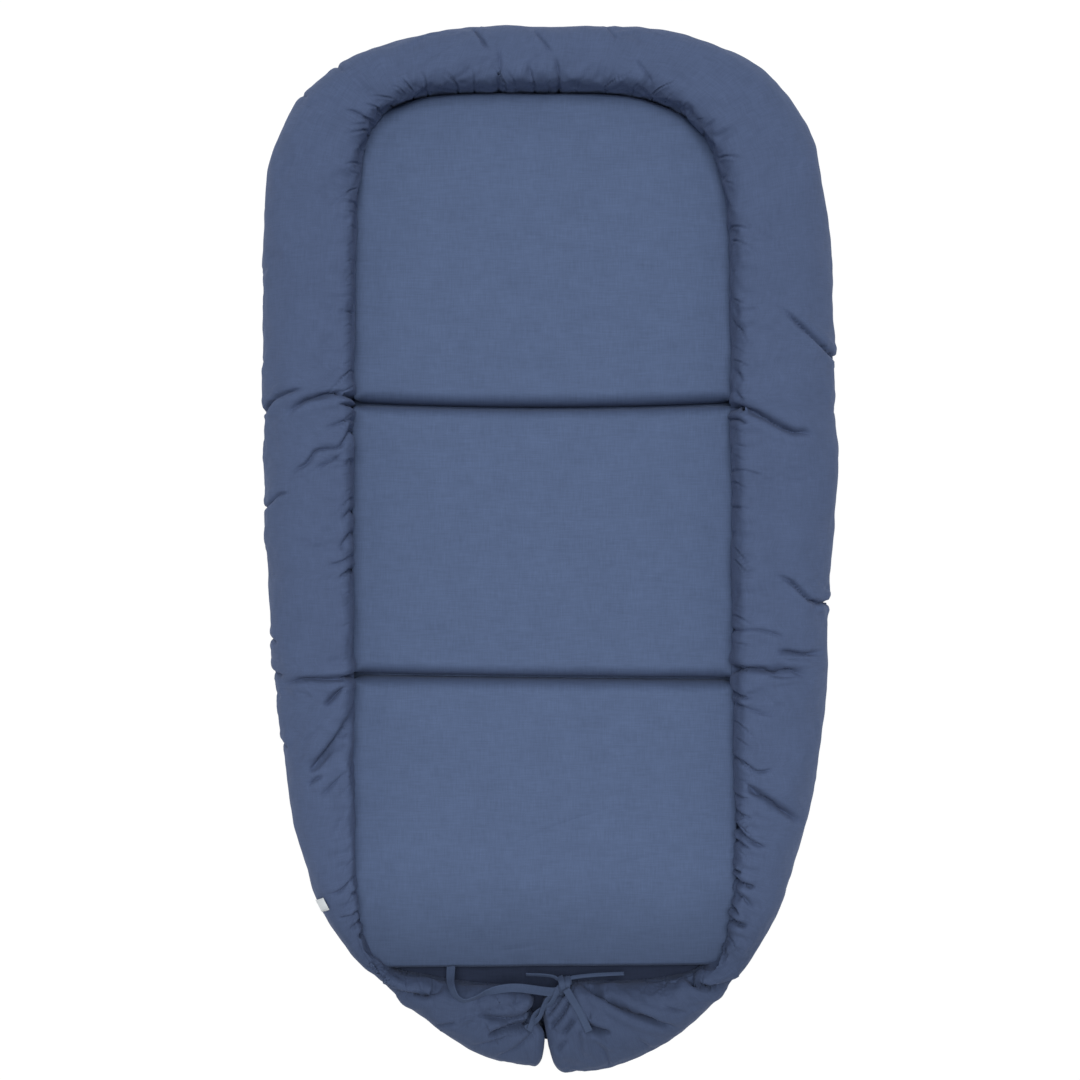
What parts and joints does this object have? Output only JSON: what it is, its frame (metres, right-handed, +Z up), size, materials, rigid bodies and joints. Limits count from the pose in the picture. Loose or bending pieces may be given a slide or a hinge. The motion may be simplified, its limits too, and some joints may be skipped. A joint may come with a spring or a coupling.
{
  "type": "infant lounger",
  "caption": "Oval infant lounger: a quilted pad of foam panels inside a stuffed roll whose tapering ends are drawn together by tapes at the foot. The ends fold up over the middle.",
  "frame": {"origin": "on the floor, under the centre of the whole lounger", "axes": "+Y points to the head end, +X to the right seen from above with the head end up, +Z up"},
  "size_m": [0.498, 0.8998, 0.08],
  "materials": {
    "blue_cloth": "matt plain-woven cotton, slate blue",
    "blue_tape": "flat woven cotton tape, slate blue",
    "white_foam": "soft open-cell foam, off white",
    "white_fibre": "loose hollow fibre, white",
    "white_satin": "white satin ribbon, bare"
  },
  "bodies": {
    "middle": {"middle_base_cloth": "blue_cloth", "middle_foam": "white_foam", "middle_top_cloth": "blue_cloth", "left_roll_sleeve": "blue_cloth", "left_roll_filling": "white_fibre", "right_roll_sleeve": "blue_cloth", "right_roll_filling": "white_fibre", "left_head_crease": "blue_cloth", "left_foot_crease": "blue_cloth", "right_head_crease": "blue_cloth", "right_foot_crease": "blue_cloth"},
    "head_flap": {"head_base_cloth": "blue_cloth", "head_foam": "white_foam", "head_top_cloth": "blue_cloth", "head_roll_sleeve": "blue_cloth", "head_roll_filling": "white_fibre"},
    "foot_flap": {"foot_base_cloth": "blue_cloth", "foot_foam": "white_foam", "foot_top_cloth": "blue_cloth", "left_tail_sleeve": "blue_cloth", "left_tail_filling": "white_fibre", "right_tail_sleeve": "blue_cloth", "right_tail_filling": "white_fibre", "tie_knot": "blue_tape", "slack_tie": "blue_tape", "left_drawstring": "blue_tape", "right_drawstring": "blue_tape", "left_hem_tape": "blue_tape", "right_hem_tape": "blue_tape", "care_tab": "white_satin"}
  },
  "joints": [
    {"name": "head_fold", "type": "hinge", "parent": "middle", "child": "head_flap", "pos_m": [0, 0.122, 0.0346], "axis": [1, 0, 0], "range_deg": [0, 100], "deforming": ["left_head_crease", "right_head_crease"]},
    {"name": "foot_fold", "type": "hinge", "parent": "middle", "child": "foot_flap", "pos_m": [0, -0.109, 0.0346], "axis": [-1, 0, 0], "range_deg": [0, 100], "deforming": ["left_foot_crease", "right_foot_crease"]}
  ]
}
